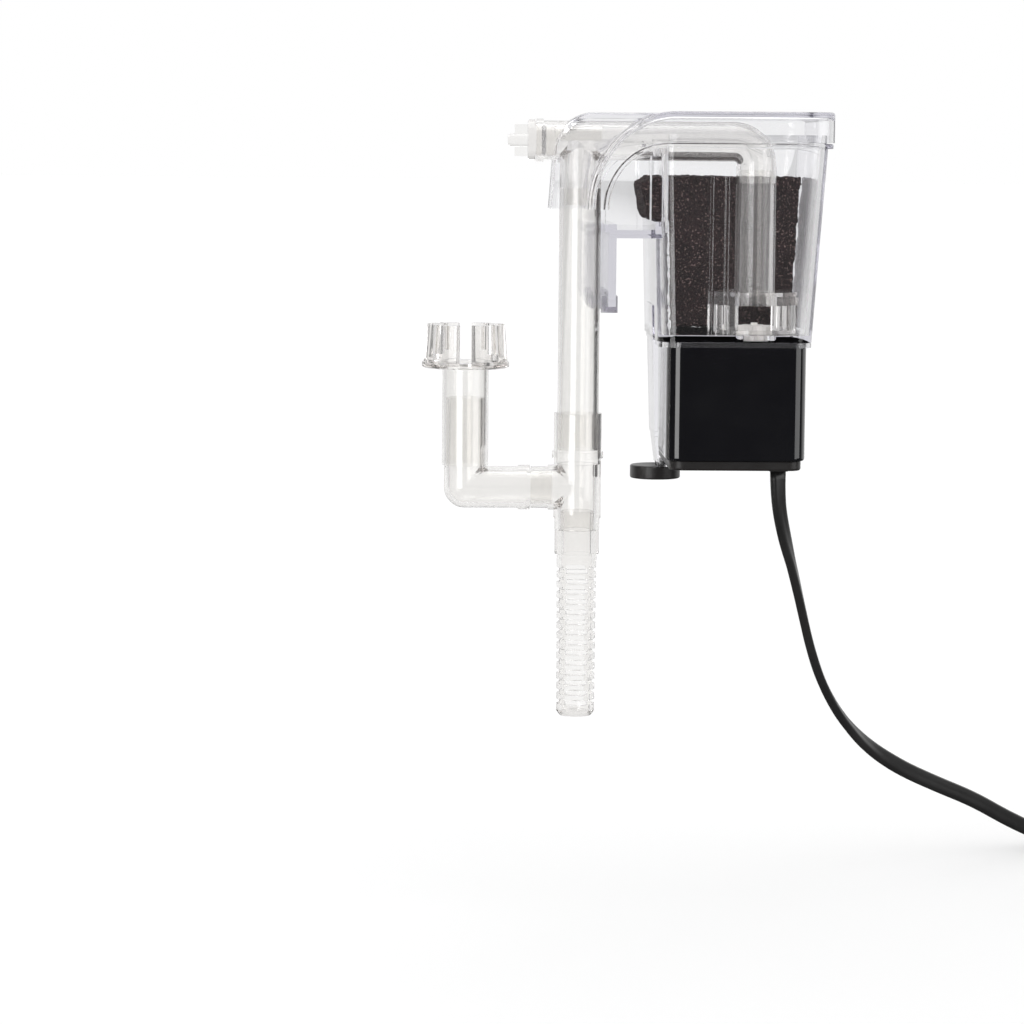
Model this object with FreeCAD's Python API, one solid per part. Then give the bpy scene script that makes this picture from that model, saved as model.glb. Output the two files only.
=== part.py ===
"""Hang-on-back aquarium filter with an external motor, a lift-off lid and a skimmer intake.

Frame: +Z up. The origin is on the underside of the hanger saddle, where it rests on the
tank's rim: X = 0 in the middle of the glass, Y = 0 in the middle of the filter's width.
-X points into the tank and +X away from it. Every length is in millimetres.
"""
import FreeCAD, Part
import math
import os

V = FreeCAD.Vector
X_AXIS = V(1, 0, 0)
Y_AXIS = V(0, 1, 0)
Z_AXIS = V(0, 0, 1)

# ---------------------------------------------------------------- driving dimensions
BOX_HALF_TOP = 38.0          # half width of the box along Y at its rim
BOX_HALF_BOTTOM = 36.2
BOX_X_TOP = (7.2, 57.0)      # tank side and outer side at the rim
BOX_X_BOTTOM = (8.9, 53.3)   # the same at the floor: the walls have draft
RIM_Z = 27.1                 # top of the box's rim flange
FLANGE_T = 1.4
FLANGE_EDGE_R = 0.4
FLOOR_Z = -29.6              # underside of the box's floor
WALL = 2.0
WEIR_Z = 4.6                 # the water spills into the tank over this edge
SADDLE_T = 2.3
SPONGE_TOP_Z = 17.8

LID_TOP_Z = 36.0
LID_WALL = 1.5
LID_X_OUT = 58.7
LID_HALF = 39.7
LID_EDGE_R = 0.8
LID_CURVE_CENTRE = (13.3, 8.1)      # quarter ellipse of the lid's front, in X and Z
LID_CURVE_RADII = (25.2, 27.9)
CHEEK_CURVE_CENTRE = (11.0, 8.1)    # quarter ellipse of the box's side cheeks
CHEEK_CURVE_RADII = (18.2, 19.0)

INTAKE_Y = -18.0             # all the intake tubes lie in this plane
RISER_X = 37.8               # riser, impeller and rotor share this axis
DROP_X = -13.2               # the drop tube inside the tank
CROSS_Z = 27.6
CROSS_R = (5.65, 4.5)        # outer and inner radius
RISER_R = (5.85, 4.65)
DROP_R = (6.0, 4.9)
KNOB_X = -26.1               # the open end of the cross tube

BRANCH_Z = -73.2
SKIMMER_X = -46.1
STRAINER_TOP_Z = -85.5
STRAINER_END_Z = -140.4
DISH_Z = (-37.9, -36.6)
SLOT_PITCH = 3.0
SLOT_ROWS = 14

WELL_R = (7.0, 5.9)
WELL_END_Z = -54.6
HOUSING_X = (11.6, 51.9)
HOUSING_HALF = 34.2
HOUSING_Z = (-63.9, -29.8)
PLATE_Z = (-66.7, -64.1)

WHEEL_R = 7.45
WHEEL_PIVOT_X = 12.2
WHEEL_ECCENTRICITY = 1.55
WHEEL_Z = (-71.9, -68.0)

CORD_TUBE_R = 2.0            # round stand-in for the flat twin cord
CORD_EXIT = (47.4, 0.0, -69.6)
TABLE_Z = -200.0
COIL_CENTRE = (196.0, 62.0)
COIL_R = (22.4, 36.4)
COIL_HEIGHT = 16.0


# ---------------------------------------------------------------- shape helpers
def box(x0, x1, y0, y1, z0, z1):
    return Part.makeBox(x1 - x0, y1 - y0, z1 - z0, V(x0, y0, z0))


def cylinder(r, start, end):
    start = V(*start)
    run = V(*end) - start
    return Part.makeCylinder(r, run.Length, start, run)


def upright(r, x, y, z0, z1):
    return cylinder(r, (x, y, z0), (x, y, z1))


def upright_tube(radii, x, y, z0, z1):
    outer, inner = radii
    return upright(outer, x, y, z0, z1).cut(upright(inner, x, y, z0 - 1, z1 + 1))


def along_x(r, z, x0, x1, y=INTAKE_Y):
    return cylinder(r, (x0, y, z), (x1, y, z))


def cone(r0, r1, x, y, z0, z1):
    return Part.makeCone(r0, r1, z1 - z0, V(x, y, z0), Z_AXIS)


def fuse(*shapes):
    return shapes[0].multiFuse(list(shapes[1:])).removeSplitter()


def soften(shape, r, chosen):
    """Round the chosen edges, as moulded edges are."""
    return shape.makeFillet(r, [edge for edge in shape.Edges if chosen(edge)])


def upright_line(edge):
    return abs(edge.Vertexes[0].Z - edge.Vertexes[-1].Z) > 0.95 * edge.Length


def rounded_rectangle(x0, x1, y0, y1, z, r):
    """A closed wire with round corners, at one height."""
    k = r * (1 - math.sqrt(0.5))
    corners = [
        ((x1 - r, y0, x1, y0 + r), (x1 - k, y0 + k)),
        ((x1, y1 - r, x1 - r, y1), (x1 - k, y1 - k)),
        ((x0 + r, y1, x0, y1 - r), (x0 + k, y1 - k)),
        ((x0, y0 + r, x0 + r, y0), (x0 + k, y0 + k)),
    ]
    edges = []
    for i, ((ax, ay, bx, by), (mx, my)) in enumerate(corners):
        edges.append(Part.Arc(V(ax, ay, z), V(mx, my, z), V(bx, by, z)).toShape())
        nx, ny = corners[(i + 1) % 4][0][:2]
        edges.append(Part.LineSegment(V(bx, by, z), V(nx, ny, z)).toShape())
    return Part.Wire(edges)


def rounded_block(x, half, z0, z1, r):
    wire = rounded_rectangle(x[0], x[1], -half, half, z0, r)
    return Part.Face(wire).extrude(V(0, 0, z1 - z0))


def box_outline(z, inset, r):
    """The box's tapering outline at height z, moved in by inset."""
    t = (z - FLOOR_Z) / (RIM_Z - FLOOR_Z)
    x0 = BOX_X_BOTTOM[0] + t * (BOX_X_TOP[0] - BOX_X_BOTTOM[0])
    x1 = BOX_X_BOTTOM[1] + t * (BOX_X_TOP[1] - BOX_X_BOTTOM[1])
    half = BOX_HALF_BOTTOM + t * (BOX_HALF_TOP - BOX_HALF_BOTTOM)
    return rounded_rectangle(x0 + inset, x1 - inset, -half + inset, half - inset, z, r)


def profile_y(items, y0, y1):
    """A prism along Y of an outline in X and Z. An item is a point or an arc (centre, radii, a0, a1)."""
    edges = []
    ends = []
    for item in items:
        if len(item) == 2:
            ends.append((V(item[0], y0, item[1]),) * 2)
        else:
            arc, start, end = ellipse_arc(*item, y0)
            edges.append(arc)
            ends.append((start, end))
    for (_, start), (end, _) in zip(ends, ends[1:] + ends[:1]):
        if (start - end).Length > 1e-6:
            edges.append(Part.LineSegment(start, end).toShape())
    return Part.Face(Part.Wire(Part.__sortEdges__(edges))).extrude(V(0, y1 - y0, 0))


def ellipse_arc(centre, radii, a0, a1, y):
    """An upright or flat ellipse's arc in a plane across Y, with its first and last point."""
    middle = V(centre[0], y, centre[1])
    across = V(radii[0], 0, 0)
    up = V(0, 0, radii[1])
    flat = radii[0] >= radii[1]
    major, minor = (across, up) if flat else (up, -across)
    low, high = sorted(math.radians(a if flat else a - 90) for a in (a0, a1))
    ellipse = Part.Ellipse(middle + major, middle + minor, middle)
    ends = [middle + across * math.cos(math.radians(a)) + up * math.sin(math.radians(a)) for a in (a0, a1)]
    return Part.ArcOfEllipse(ellipse, low, high).toShape(), ends[0], ends[1]


def sector_ring(r_out, r_in, x, y, z0, z1, middle_deg, width_deg):
    """A block cut from a ring, centred on an angle."""
    ring = Part.makeCylinder(r_out, z1 - z0, V(x, y, z0), Z_AXIS, width_deg)
    ring.rotate(V(x, y, 0), Z_AXIS, middle_deg - width_deg / 2)
    return ring.cut(upright(r_in, x, y, z0 - 1, z1 + 1))


def bent_tube(points, bend, radii):
    """A round tube through points in one plane, with one bend radius."""
    outer = rounded_path(points, [bend] * (len(points) - 2))
    normal = V(*points[1]) - V(*points[0])
    shapes = []
    for r in radii:
        ring = Part.Wire([Part.Circle(V(*points[0]), normal, r).toShape()])
        shapes.append(outer.makePipeShell([ring], True, False))
    return shapes[0].cut(shapes[1])


def rounded_path(points, radii):
    """Straight runs joined by tangent arcs, one radius for each inner point."""
    at = V(*points[0])
    edges = []
    for before, corner, after, r in zip(points, points[1:], points[2:], radii):
        corner = V(*corner)
        into = (corner - V(*before)).normalize()
        out = (V(*after) - corner).normalize()
        turn = into.getAngle(out)
        cut = r * math.tan(turn / 2)
        a = corner - into * cut
        b = corner + out * cut
        middle = corner + (out - into).normalize() * (r / math.cos(turn / 2) - r)
        if (a - at).Length > 1e-6:
            edges.append(Part.LineSegment(at, a).toShape())
        edges.append(Part.Arc(a, middle, b).toShape())
        at = b
    edges.append(Part.LineSegment(at, V(*points[-1])).toShape())
    return Part.Wire(edges)


def save(name, shape):
    shape.exportStep("parts/" + name + ".step")
    print(f"{name}: {len(shape.Solids)} solid(s), {shape.Volume / 1000:.2f} cm3, valid {shape.isValid()}")


# ---------------------------------------------------------------- clear box, spout and hanger
TUBE_NOTCH = (INTAKE_Y - 8.5, INTAKE_Y + 8.5)    # gap in the spout for the drop tube
POST_Y = (33.4, 36.8)
NEAR_POST_DEPTH = 9.8
RIBS_X = (23.7, 28.2)        # shallow round ribs inside the near wall
RIB_R = 1.8
RIB_HEIGHT = 0.25
LEG_HALF = 14.0
FOOT_Z = -67.7


def box_shell():
    outer = Part.makeLoft([box_outline(FLOOR_Z, 0, 6), box_outline(RIM_Z, 0, 6)], True, True)
    flange = rounded_block((6.0, 58.4), 39.4, RIM_Z - FLANGE_T, RIM_Z, 7)
    flange = soften(flange, FLANGE_EDGE_R, lambda edge: not upright_line(edge))
    lip = rounded_block((8.8, 56.6), 37.6, RIM_Z - 0.5, RIM_Z + 2.4, 5.5)
    skirt = rounded_block((BOX_X_BOTTOM[0] + 0.4, 53.2), 35.9, FLOOR_Z - 1.5, FLOOR_Z + 0.5, 5.5)
    skirt = skirt.cut(rounded_block((11.0, 52.2), 34.8, FLOOR_Z - 2, FLOOR_Z, 4.5))
    shell = fuse(outer, flange, lip, skirt)
    hollow = Part.makeLoft([box_outline(FLOOR_Z + WALL, WALL, 4), box_outline(RIM_Z + 5, WALL, 4)],
                           True, True)
    return shell.cut(hollow)


def cheek(side):
    """Side wall of the spout: a curved plate with a flange that the lid's skirt meets."""
    y = sorted((side * 36.0, side * 38.0))
    y_flange = sorted((side * 36.0, side * 39.4))
    cx, cz = CHEEK_CURVE_CENTRE
    rx, rz = CHEEK_CURVE_RADII
    curve = (CHEEK_CURVE_CENTRE, CHEEK_CURVE_RADII, 90, 180)
    inner = (CHEEK_CURVE_CENTRE, (rx - FLANGE_T, rz - FLANGE_T), 180, 90)
    plate = profile_y([curve, (cx - rx, 1.6), (cx, 1.6)], *y)
    flange = soften(profile_y([curve, inner], *y_flange), FLANGE_EDGE_R,
                    lambda edge: abs(edge.CenterOfMass.y - side * 39.4) < 0.01 and edge.Length > 20)
    foot = box(-11.6, cx - rx + 0.6, *sorted((side * 33.5, side * 38.0)), 3.6, 7.8)
    boss = cylinder(1.1, (-8.0, side * 37.5, 6.6), (-8.0, side * 38.9, 6.6))
    return fuse(plate, flange, foot, boss)


def spout():
    """The saddle over the rim, the spout that pours into the tank and the hook behind the glass."""
    saddle = box(-5.6, 9.4, -38, 38, 0, SADDLE_T)
    tongue = box(-12.4, -3.4, -38, 38, 1.6, 3.9)
    plate = box(-5.6, -3.4, -36, 36, -19.6, 3.0)
    webs = [profile_y([(-12.4, 3), (-4, 3), (-4, -19.6), (-10.6, -19.6), (-12.4, -16.5)], y, y + 2)
            for y in (-36, TUBE_NOTCH[0] - 2, TUBE_NOTCH[1], 12, 34)]
    notch = box(-14, -6.4, *TUBE_NOTCH, -25, 9)
    return fuse(saddle, tongue, plate, *webs).cut(notch)


def support_leg():
    """A leg beside the motor whose foot turns in under the motor and carries the level wheel."""
    outline = [(8.3, -20), (10.2, -20), (10.6, -57.5), (11.3, -66.9), (17.0, -66.9), (17.0, FOOT_Z),
               (10.9, FOOT_Z), (9.6, -58)]
    leg = profile_y(outline, -LEG_HALF, LEG_HALF)
    webs = [box(9.6, 11.3, y, y + 1.4, -58, -30.5) for y in (-LEG_HALF, LEG_HALF - 1.4)]
    trim = [box(6, 20, *sorted((side * 10.5, side * 22)), -69, -58.6) for side in (-1, 1)]
    hole = upright(1.5, WHEEL_PIVOT_X, 0, -70, -66)
    return fuse(leg, *webs).cut(fuse(*trim, hole))


def wall_rib(x):
    """A long rib that follows the near wall's draft and stands a little proud of its inner face."""
    low, high = FLOOR_Z + WALL, SPONGE_TOP_Z
    slope = (BOX_HALF_TOP - BOX_HALF_BOTTOM) / (RIM_Z - FLOOR_Z)
    depth = RIB_R - WALL - RIB_HEIGHT
    ends = [(x, -BOX_HALF_BOTTOM - slope * (z - FLOOR_Z) - depth, z) for z in (low, high)]
    return cylinder(RIB_R, *ends)


def filter_box():
    shell = box_shell()
    window = box(3, BOX_X_TOP[0] + WALL + 1.6, NEAR_POST_DEPTH - POST_Y[1], POST_Y[0], WEIR_Z, RIM_Z + 6)
    ends = box(3, 10.9, -40, 40, RIM_Z - FLANGE_T - 0.1, RIM_Z + 6)
    shell = shell.cut(window).cut(ends)
    posts = [box(6.4, 9.3, -POST_Y[1], NEAR_POST_DEPTH - POST_Y[1], 1.0, 23.3),
             box(6.4, 9.3, *POST_Y, 1.0, 23.3)]
    well = upright(WELL_R[0], RISER_X, INTAKE_Y, WELL_END_Z, FLOOR_Z + 0.5)
    inside = Part.makeLoft([box_outline(FLOOR_Z, 1, 5), box_outline(RIM_Z, 1, 5)], True, True)
    ribs = [wall_rib(x).common(inside) for x in RIBS_X]
    body = fuse(shell, cheek(-1), cheek(1), spout(), support_leg(), well, *ribs, *posts)
    bore = upright(WELL_R[1], RISER_X, INTAKE_Y, WELL_END_Z + 1.6, FLOOR_Z + WALL + 1)
    return body.cut(bore)


def hook_bumper():
    """A soft sleeve pushed over the hook's lower edge, so that it grips the glass."""
    sleeve = box(-7.4, -2.8, -33.5, 33.5, -21.4, -16.6)
    sleeve = sleeve.cut(box(-5.7, -3.3, -34, 34, -19.7, -16))
    gaps = [box(-8, -5.6, y - 1.3, y + 1.3, -22, -16) for y in
            (TUBE_NOTCH[0] - 1, TUBE_NOTCH[1] + 1, 13)]
    beside_tube = box(-8, -6.7, TUBE_NOTCH[0] - 2, TUBE_NOTCH[1] + 2, -22, -16)
    return sleeve.cut(fuse(beside_tube, *gaps))


# ---------------------------------------------------------------- lid
NOSE_Y = (INTAKE_Y - 12, INTAKE_Y + 12)
NOSE_EDGE_R = 0.6
NOSE_FOOT = (-22.3, 8.1)
NOSE_CURVE_CENTRE = (-10.2, 22.5)
NOSE_CURVE_RADII = (11.0, 13.1)


def lid_outline(inset):
    cx, cz = LID_CURVE_CENTRE
    rx, rz = LID_CURVE_RADII
    curve = (LID_CURVE_CENTRE, (rx - inset, rz - inset), 180, 90)
    return [curve, (LID_X_OUT - inset, LID_TOP_Z - inset), (LID_X_OUT - inset, cz), (cx, cz)]


def rounded_lid(inset, corner_r):
    """The lid's outline as a block with round corners and edges, moved in by inset."""
    full = profile_y(lid_outline(inset), -LID_HALF + inset, LID_HALF - inset)
    block = full.common(rounded_block((-40, LID_X_OUT - inset), LID_HALF - inset, 0, 40, corner_r))
    return soften(block, LID_EDGE_R, lambda edge: edge.CenterOfMass.z > LID_CURVE_CENTRE[1] + 0.1
                  and edge.Length > 5 and not upright_line(edge))


def lid_band():
    """The solid between the lid's curved outline and the rim that it rests on."""
    rx, rz = CHEEK_CURVE_RADII
    gap = 0.25
    below = profile_y([(CHEEK_CURVE_CENTRE, (rx + gap, rz + gap), 180, 90), (70, RIM_Z + gap), (70, 0),
                       (CHEEK_CURVE_CENTRE[0] - rx - gap, 0)], -50, 50)
    return rounded_lid(0, 7).cut(below)


def nose_outline(inset, drop=0.0):
    """The nose from the side, moved in by inset and down by drop."""
    cx, cz = NOSE_CURVE_CENTRE
    rx, rz = NOSE_CURVE_RADII
    foot = (NOSE_FOOT[0] + inset, NOSE_FOOT[1] - drop)
    curve = ((cx, cz - drop), (rx - inset, rz - inset), 180, 90)
    return [foot, curve, (14.0, cz + rz - inset - drop), (14.0, NOSE_FOOT[1] - drop)]


def lid():
    inner = rounded_lid(LID_WALL, 5.5)
    nose = soften(profile_y(nose_outline(0), *NOSE_Y), NOSE_EDGE_R, lambda edge: edge.CenterOfMass.x < 13
                  and edge.CenterOfMass.z > NOSE_FOOT[1] + 0.1 and abs(edge.CenterOfMass.y - INTAKE_Y) > 11.9)
    nose_space = profile_y(nose_outline(LID_WALL, 0.1), NOSE_Y[0] + LID_WALL, NOSE_Y[1] - LID_WALL)
    passage = nose_space.common(box(-30, 16, *NOSE_Y, 0, LID_TOP_Z - 2.2))
    shell = fuse(lid_band().cut(inner).cut(passage), nose.cut(nose_space).cut(inner))
    slot_half = CROSS_R[0] + 0.75
    slot = fuse(box(-30, -11, INTAKE_Y - slot_half, INTAKE_Y + slot_half, 0, CROSS_Z),
                along_x(slot_half, CROSS_Z, -30, -11))
    bottom_trim = box(-30, 0, -50, 50, 0, NOSE_FOOT[1])
    return shell.cut(fuse(slot, bottom_trim))


# ---------------------------------------------------------------- pump
IMPELLER_R = 5.2
IMPELLER_TOP_Z = -25.3
MAGNET_Z = (-49.5, -30.2)
SHAFT_BORE_R = 1.06
# middle and width of each cage pillar, in degrees
PILLARS = ((15, 16), (45, 10), (140, 12), (168, 16), (200, 16), (232, 14), (295, 8), (325, 16))


def impeller_cover():
    """The clear cage over the impeller, with a recess that the riser stands in."""
    x, y = RISER_X, INTAKE_Y
    disc = fuse(upright(13.1, x, y, -19.3, -17.0), upright(12.5, x, y, -17.0, -15.5))
    pillars = [sector_ring(12.9, 10.6, x, y, -26.6, -19.2, middle, width) for middle, width in PILLARS]
    base = upright_tube((12.9, 10.9), x, y, -27.5, -26.4)
    body = fuse(disc, base, *pillars)
    return body.cut(fuse(upright(RISER_R[0] + 0.05, x, y, -16.9, -12),
                         upright(RISER_R[1], x, y, -20, -16)))


def impeller():
    """A small hub with six straight vanes, half sunk in the mouth of the rotor well."""
    x, y = RISER_X, INTAKE_Y
    plate = upright(IMPELLER_R, x, y, MAGNET_Z[1], MAGNET_Z[1] + 1.0)
    hub = upright(2.3, x, y, MAGNET_Z[1] + 0.5, IMPELLER_TOP_Z - 0.2)
    vanes = []
    for i in range(6):
        vane = box(x + 1.5, x + IMPELLER_R, y - 0.5, y + 0.5, MAGNET_Z[1] + 0.5, IMPELLER_TOP_Z)
        vane.rotate(V(x, y, 0), Z_AXIS, 60 * i)
        vanes.append(vane)
    return fuse(plate, hub, *vanes).cut(upright(SHAFT_BORE_R, x, y, MAGNET_Z[1] - 1, IMPELLER_TOP_Z + 1))


def rotor_magnet():
    return upright_tube((5.4, SHAFT_BORE_R), RISER_X, INTAKE_Y, *MAGNET_Z)


def impeller_shaft():
    return upright(1.0, RISER_X, INTAKE_Y, -52.0, IMPELLER_TOP_Z + 0.7)


def shaft_bush():
    """A rubber cup at the bottom of the well that holds the fixed ceramic shaft."""
    x, y = RISER_X, INTAKE_Y
    return upright(5.6, x, y, -53.0, -50.1).cut(upright(1.0, x, y, -52.0, -50))


def sponge():
    """The filter sponge stands behind the riser and leans out over the weir."""
    outline = [(12.0, FLOOR_Z + WALL + 0.3), (50.2, FLOOR_Z + WALL + 0.3), (52.8, SPONGE_TOP_Z),
               (7.5, SPONGE_TOP_Z), (4.4, SPONGE_TOP_Z - 2.0), (6.4, WEIR_Z + 0.8), (10.9, WEIR_Z + 0.4)]
    return profile_y(outline, INTAKE_Y + 14.0, 32.4)


# ---------------------------------------------------------------- dry motor
POLE_X = (27.1, 48.5)
POLE_T = 2.5
YOKE_Y = (12.5, 20.5)
CORE_Z = (-52.0, -40.0)
SCREW_AT = [(x, y) for x in (17.2, 45.1) for y in (-28.8, 28.8)]


def motor_housing():
    x0, x1 = HOUSING_X
    shell = rounded_block(HOUSING_X, HOUSING_HALF, *HOUSING_Z, 4.5)
    shell = soften(shell, 0.8, lambda edge: abs(edge.CenterOfMass.z - HOUSING_Z[0]) < 1e-6)
    inside = rounded_block((x0 + 2, x1 - 2), HOUSING_HALF - 2, HOUSING_Z[0] - 1, HOUSING_Z[1] - 2, 2.5)
    shell = shell.cut(inside)
    pocket = upright(8.1, RISER_X, INTAKE_Y, WELL_END_Z - 1.4, HOUSING_Z[1] - 1)
    posts = [upright(2.7, x, y, HOUSING_Z[0] + 1.4, HOUSING_Z[1] - 1.5) for x, y in SCREW_AT]
    body = fuse(shell, pocket, *posts)
    holes = [upright(1.1, x, y, HOUSING_Z[0] - 1, HOUSING_Z[0] + 10) for x, y in SCREW_AT]
    pry = box(x1 - 2.6, x1 + 1, -HOUSING_HALF - 1, -HOUSING_HALF + 1.1, HOUSING_Z[0] - 1, HOUSING_Z[0] + 1)
    well_space = upright(WELL_R[0] + 0.15, RISER_X, INTAKE_Y, WELL_END_Z - 0.2, HOUSING_Z[1] + 1)
    return body.cut(fuse(well_space, pry, *holes))


def motor_base_plate():
    x0, x1 = HOUSING_X
    plate = rounded_block((x0 + 1.0, x1 - 1.0), HOUSING_HALF - 1.0, *PLATE_Z, 4)
    plate = soften(plate, 0.7, lambda edge: abs(edge.CenterOfMass.z - PLATE_Z[0]) < 1e-6)
    key = rounded_block((x0 + 2.2, x1 - 2.2), HOUSING_HALF - 2.2, PLATE_Z[1] - 0.3,
                        HOUSING_Z[0] + 1.2, 2.3)
    holes = []
    for x, y in SCREW_AT:
        holes += [upright(1.3, x, y, PLATE_Z[0] - 1, HOUSING_Z[0] + 3),
                  upright(2.3, x, y, PLATE_Z[0] - 1, PLATE_Z[0] + 1.6)]
    exit_x, exit_y, _ = CORD_EXIT
    cable = box(exit_x - 3.2, exit_x + 1.6, exit_y - 3.4, exit_y + 3.4, PLATE_Z[0] - 1, HOUSING_Z[0] + 3)
    return fuse(plate, key).cut(fuse(cable, *holes))


def base_screws():
    """Four self-tapping screws that hold the base plate."""
    screws = []
    for x, y in SCREW_AT:
        head = upright(2.15, x, y, PLATE_Z[0] + 0.1, PLATE_Z[0] + 1.55)
        cross = fuse(box(x - 1.3, x + 1.3, y - 0.3, y + 0.3, PLATE_Z[0], PLATE_Z[0] + 0.8),
                     box(x - 0.3, x + 0.3, y - 1.3, y + 1.3, PLATE_Z[0], PLATE_Z[0] + 0.8))
        shank = upright(1.08, x, y, PLATE_Z[0] + 1.5, PLATE_Z[0] + 11)
        screws.append(fuse(head, shank).cut(cross))
    return Part.makeCompound(screws)


def stator_core():
    """Stacked steel: two pole legs beside the rotor well and the yoke that joins them."""
    x0, x1 = POLE_X
    legs = [box(x0, x0 + POLE_T, -26, YOKE_Y[1], *CORE_Z), box(x1 - POLE_T, x1, -26, YOKE_Y[1], *CORE_Z)]
    yoke = box(x0, x1, *YOKE_Y, *CORE_Z)
    return fuse(yoke, *legs)


def coil_bobbin():
    x0, x1 = POLE_X[0] + POLE_T + 0.2, POLE_X[1] - POLE_T - 0.2
    tube = box(x0, x1, YOKE_Y[0] - 1.1, YOKE_Y[1] + 1.1, CORE_Z[0] - 1.1, CORE_Z[1] + 1.1)
    ends = [box(x, x + 1.0, YOKE_Y[0] - 4.7, YOKE_Y[1] + 4.7, CORE_Z[0] - 4.7, CORE_Z[1] + 4.7)
            for x in (x0, x1 - 1.0)]
    core_space = box(x0 - 1, x1 + 1, YOKE_Y[0] - 0.1, YOKE_Y[1] + 0.1, CORE_Z[0] - 0.1, CORE_Z[1] + 0.1)
    return fuse(tube, *ends).cut(core_space)


def stator_coil():
    x0, x1 = POLE_X[0] + POLE_T + 1.3, POLE_X[1] - POLE_T - 1.3
    winding = box(x0, x1, YOKE_Y[0] - 4.2, YOKE_Y[1] + 4.2, CORE_Z[0] - 4.2, CORE_Z[1] + 4.2)
    winding = soften(winding, 1.5, lambda edge: abs(edge.CenterOfMass.x - (x0 + x1) / 2) < 0.1)
    hole = box(x0 - 1, x1 + 1, YOKE_Y[0] - 1.2, YOKE_Y[1] + 1.2, CORE_Z[0] - 1.2, CORE_Z[1] + 1.2)
    return winding.cut(hole)


# ---------------------------------------------------------------- intake
def riser_tube():
    x, y = RISER_X, INTAKE_Y
    body = upright(RISER_R[0], x, y, -16.8, 15.5)
    spigot = upright(5.1, x, y, 15.0, 19.5)
    return fuse(body, spigot).cut(upright(RISER_R[1] - 0.3, x, y, -18, 21))


def cross_tube():
    """The tube over the rim: an elbow above the riser, and a tee above the drop tube."""
    y = INTAKE_Y
    path = [(KNOB_X, y, CROSS_Z), (RISER_X, y, CROSS_Z), (RISER_X, y, 15.7)]
    body = bent_tube(path, 6.6, CROSS_R)
    leg = upright_tube((RISER_R[0], CROSS_R[1]), RISER_X, y, 15.7, 20.5)
    saddle = fuse(upright(6.6, DROP_X, y, 21.2, CROSS_Z), upright(DROP_R[0], DROP_X, y, 14.0, 22))
    collar = along_x(6.2, CROSS_Z, KNOB_X, KNOB_X + 2.0)
    spigot = upright(DROP_R[1] - 0.05, DROP_X, y, 9.0, 15)
    body = fuse(body, leg, saddle, collar, spigot)
    bores = fuse(upright(4.0, DROP_X, y, 8, CROSS_Z), along_x(CROSS_R[1], CROSS_Z, KNOB_X - 1, 28),
                 upright(5.15, RISER_X, y, 15, 19.6))
    return body.cut(bores)


def flow_knob():
    """A rotary valve: a flange and a stub outside, and a half shell inside that covers the tee's port."""
    flange = fuse(along_x(6.0, CROSS_Z, KNOB_X - 2.1, KNOB_X - 0.3),
                  along_x(5.6, CROSS_Z, KNOB_X - 2.4, KNOB_X - 2.1))
    stub = fuse(along_x(1.9, CROSS_Z, KNOB_X - 7.6, KNOB_X - 2),
                along_x(1.5, CROSS_Z, KNOB_X - 8.2, KNOB_X - 7.5))
    fin = box(KNOB_X - 6.2, KNOB_X - 2.0, INTAKE_Y - 0.5, INTAKE_Y + 0.5, CROSS_Z - 4.6, CROSS_Z + 4.6)
    plug = along_x(4.44, CROSS_Z, KNOB_X - 0.4, KNOB_X + 5.6)
    groove = along_x(5, CROSS_Z, KNOB_X + 1.5, KNOB_X + 2.9).cut(along_x(3.5, CROSS_Z, KNOB_X, KNOB_X + 4))
    shell = along_x(4.44, CROSS_Z, KNOB_X + 5.5, DROP_X + 6).cut(along_x(3.5, CROSS_Z, KNOB_X, DROP_X + 7))
    shell = shell.cut(box(KNOB_X + 5.7, DROP_X + 8, INTAKE_Y - 6, INTAKE_Y + 6, CROSS_Z - 6, CROSS_Z))
    return fuse(flange, stub, fin, plug, shell).cut(groove)


def knob_o_ring():
    return Part.makeTorus(3.9, 0.56, V(KNOB_X + 2.2, INTAKE_Y, CROSS_Z), X_AXIS).cut(
        along_x(3.5, CROSS_Z, KNOB_X, KNOB_X + 5))


def drop_tube():
    return upright_tube(DROP_R, DROP_X, INTAKE_Y, -62.0, 13.9)


def skimmer_tee():
    """A tee that slides on the drop tube: the skimmer's branch at the side, the strainer below."""
    x, y = DROP_X, INTAKE_Y
    socket = upright(6.95, x, y, -62.2, -51.4)
    ring = upright(7.5, x, y, -64.4, -62.6)
    body = upright(6.9, x, y, -82.0, -62.0)
    lower = upright(6.6, x, y, STRAINER_TOP_Z + 0.1, -81.5)
    branch = along_x(6.1, BRANCH_Z, -26.9, x)
    pad = along_x(6.6, BRANCH_Z, x - 8.6, x)
    solid = fuse(socket, ring, body, lower, branch, pad)
    bores = fuse(upright(DROP_R[0] + 0.08, x, y, -66.2, -50), upright(DROP_R[1], x, y, -90, -60),
                 along_x(4.9, BRANCH_Z, -30, x))
    return solid.cut(bores)


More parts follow.
